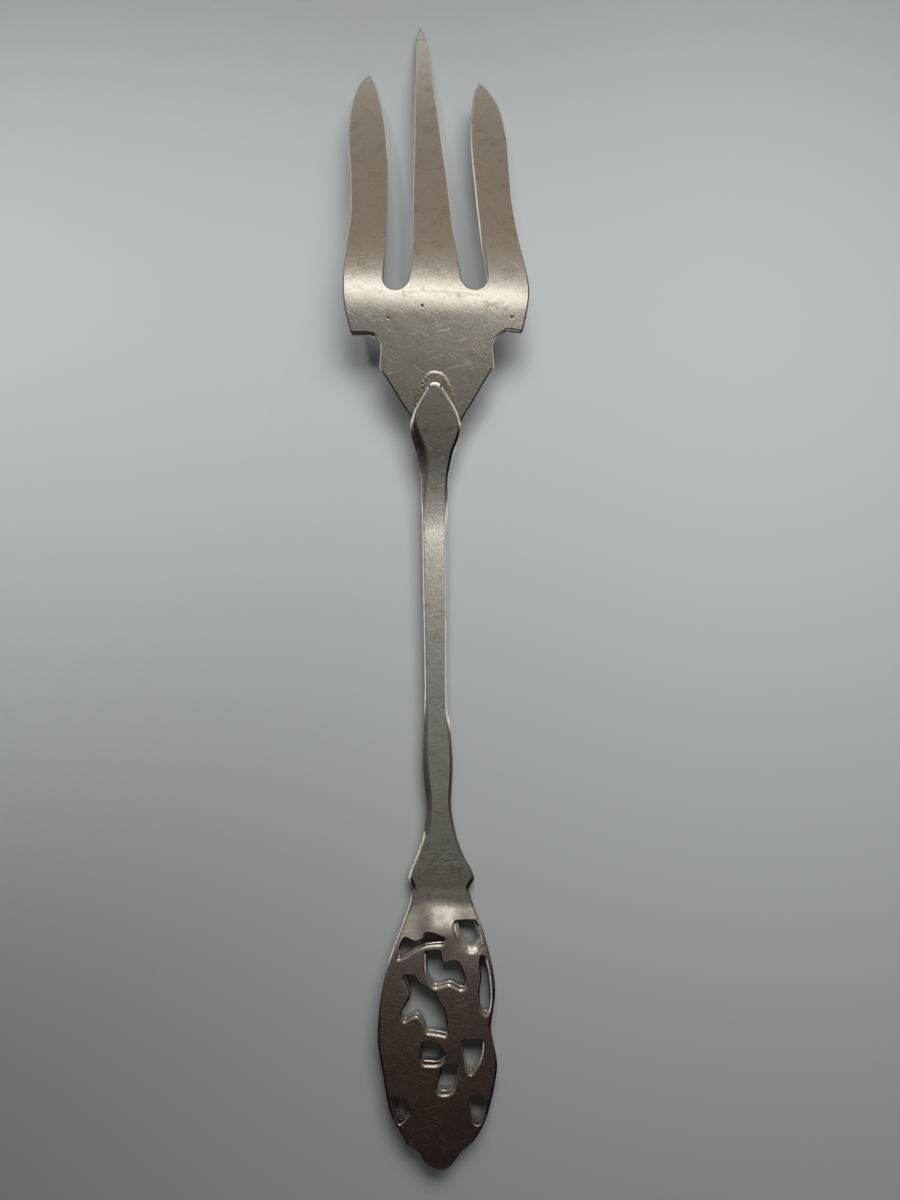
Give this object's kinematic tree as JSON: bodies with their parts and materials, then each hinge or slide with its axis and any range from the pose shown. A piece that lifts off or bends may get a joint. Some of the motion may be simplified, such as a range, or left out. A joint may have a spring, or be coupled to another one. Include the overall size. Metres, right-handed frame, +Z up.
{
  "type": "pastry fork",
  "caption": "Slim silver pastry fork with a bent sheet head, long tapered tines and a narrow cast handle that ends in a pierced leaf-shaped finial.",
  "frame": {"origin": "middle of the fork's box, on the surface that it lies on", "axes": "the fork lies on its front: +Y from the finial to the tine tips, +Z up through its back, +X to the right seen from above with the tines away"},
  "size_m": [0.0226, 0.144, 0.0098],
  "materials": {
    "head_metal": "silver sheet, satin with a warm tarnish",
    "handle_metal": "cast silver, polished by use, dark in the recesses",
    "solder_metal": "silver solder, a little duller than the sheet"
  },
  "bodies": {
    "root": {"fork_head": "head_metal", "handle": "handle_metal", "solder_joint": "solder_metal"}
  },
  "joints": []
}
